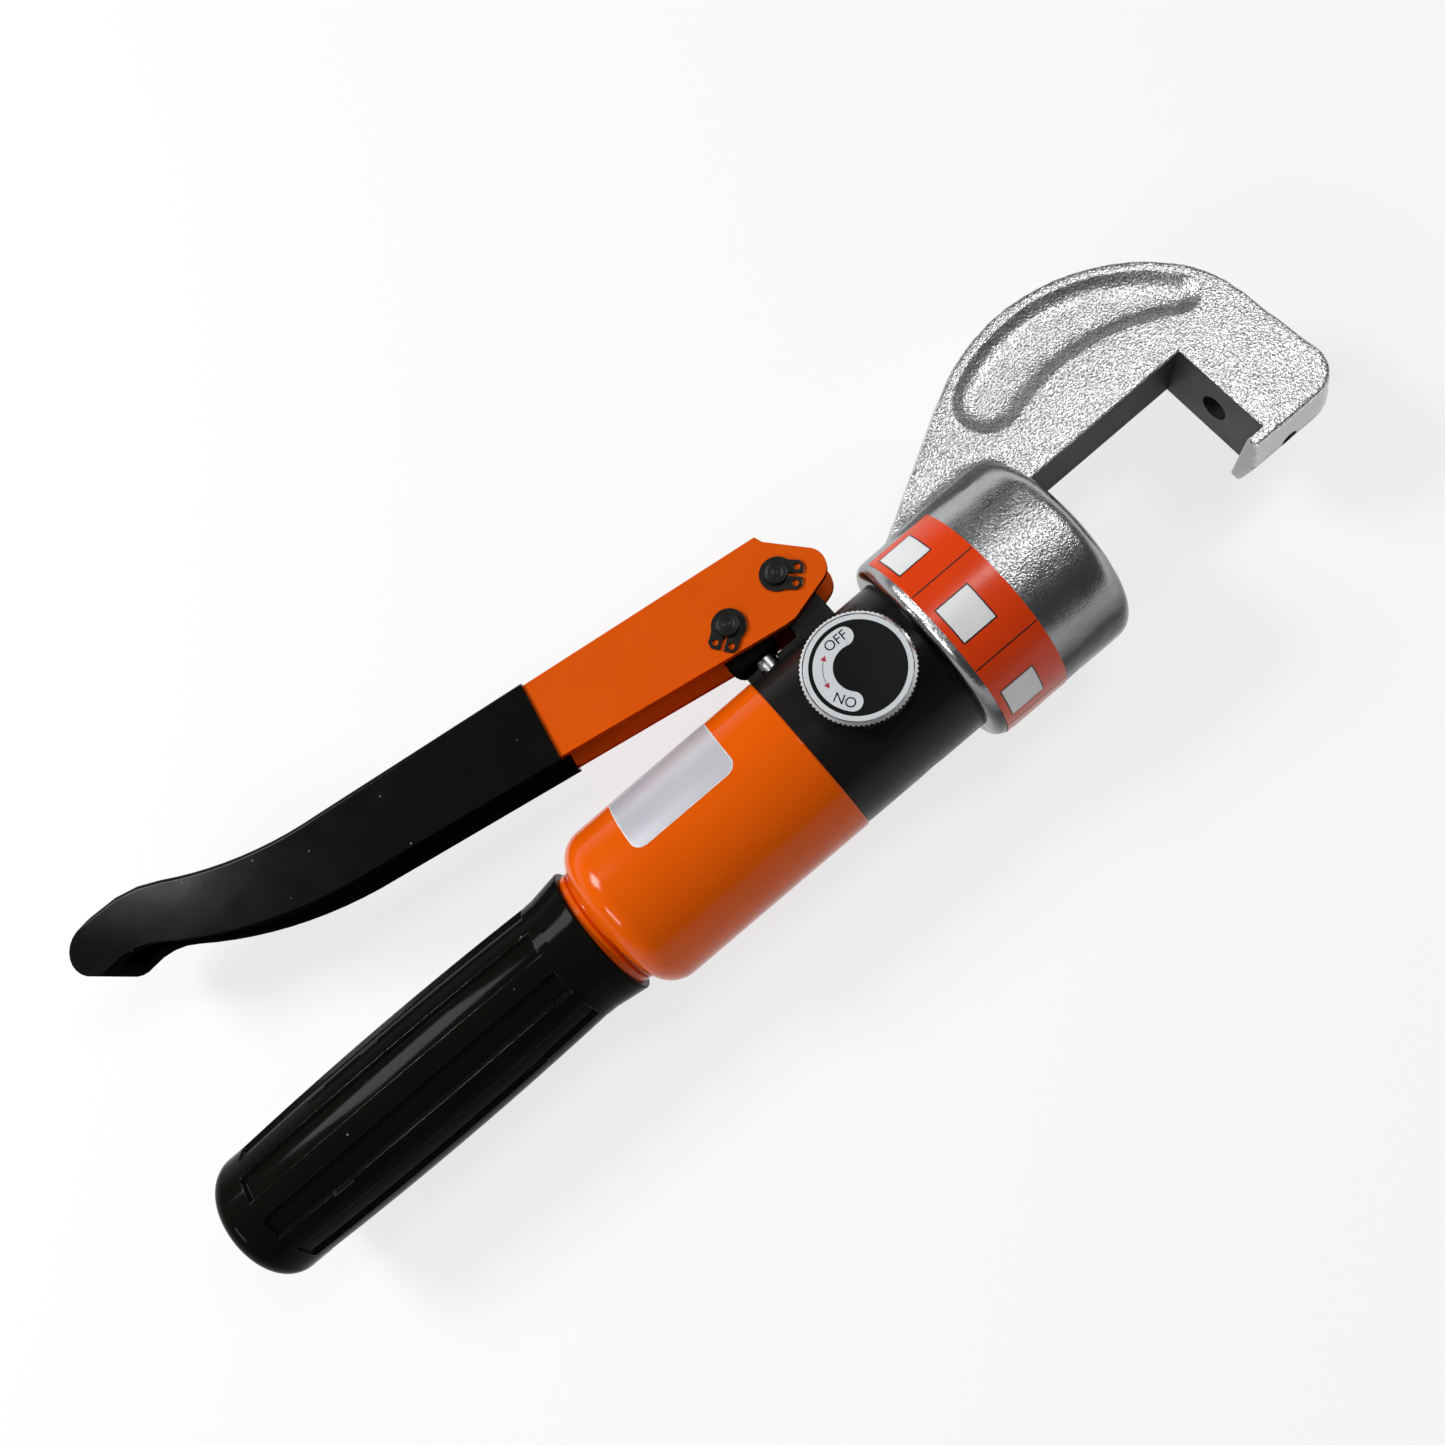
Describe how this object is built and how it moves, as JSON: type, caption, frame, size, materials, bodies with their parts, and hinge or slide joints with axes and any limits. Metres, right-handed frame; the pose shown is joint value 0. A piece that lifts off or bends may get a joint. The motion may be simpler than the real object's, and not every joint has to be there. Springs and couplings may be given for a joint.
{
  "type": "hydraulic crimping tool",
  "caption": "Hand-held hydraulic crimping tool with a forged C-shaped head and ram, round collar, pump barrel with release knob, painted sleeve, fluted grip and a bent pumping lever.",
  "frame": {"origin": "mouth of the die peg hole in the fixed jaw, on the ram axis", "axes": "+X along the ram towards the fixed jaw, +Y towards the pumping lever, +Z towards the release knob"},
  "size_m": [0.2843, 0.099, 0.0461],
  "materials": {
    "zinc_forging": "bright zinc plate over a coarse forged skin",
    "black_oxide_steel": "oiled black oxide",
    "bright_steel": "ground",
    "nitrile_rubber": "matt",
    "hard_plastic": "matt",
    "brass_mesh": "woven",
    "orange_paint": "glossy orange paint",
    "black_grip": "smooth, glossy",
    "bright_chrome": "polished",
    "label_film": "satin"
  },
  "bodies": {
    "frame": {"c_head": "zinc_forging", "die_lock_screw": "black_oxide_steel", "cylinder_block": "black_oxide_steel", "spigot_o_ring": "nitrile_rubber", "ram_return_spring": "bright_steel", "ram_wiper": "nitrile_rubber", "pump_gland": "black_oxide_steel", "plunger_seal": "nitrile_rubber", "suction_ball": "bright_steel", "suction_spring": "bright_steel", "suction_seat": "bright_steel", "suction_strainer": "brass_mesh", "delivery_ball": "bright_steel", "delivery_spring": "bright_steel", "delivery_plug": "black_oxide_steel", "relief_ball": "bright_steel", "relief_spring": "bright_steel", "relief_screw": "black_oxide_steel", "body_sleeve": "orange_paint", "handle_tube": "bright_steel", "oil_bladder": "nitrile_rubber", "grip_sleeve": "black_grip"},
    "lever": {"lever_channel": "orange_paint", "lever_grip": "black_grip", "pivot_pin": "black_oxide_steel", "plunger_pin": "black_oxide_steel", "pivot_circlips": "black_oxide_steel", "plunger_circlips": "black_oxide_steel"},
    "plunger": {"pump_plunger": "black_oxide_steel"},
    "ram": {"ram_piston": "bright_steel", "ram_seal": "nitrile_rubber", "ram_backup_ring": "hard_plastic"},
    "knob": {"release_knob": "bright_chrome", "knob_label": "label_film", "release_needle": "bright_steel", "needle_o_ring": "nitrile_rubber"}
  },
  "joints": [
    {"name": "lever_pivot", "type": "hinge", "parent": "frame", "child": "lever", "pos_m": [-0.09085, 0.0322, 0], "axis": [0, 0, -1], "range_deg": [-4, 28]},
    {"name": "plunger_slide", "type": "slide", "parent": "frame", "child": "plunger", "axis": [0, 1, 0], "range_m": [-0.00104, 0.00722]},
    {"name": "ram_slide", "type": "slide", "parent": "frame", "child": "ram", "axis": [1, 0, 0], "range_m": [0, 0.016], "stiffness_N_per_m": 2000, "springref_m": -0.008, "deforming": ["ram_return_spring"]},
    {"name": "release_turn", "type": "hinge", "parent": "frame", "child": "knob", "pos_m": [-0.09285, 0.0015, 0], "axis": [0, 0, 1], "range_deg": [0, 90]}
  ],
  "couplings": [
    {"joint": "plunger_slide", "follows": "lever_pivot", "m_per_rad": 0.01475}
  ]
}
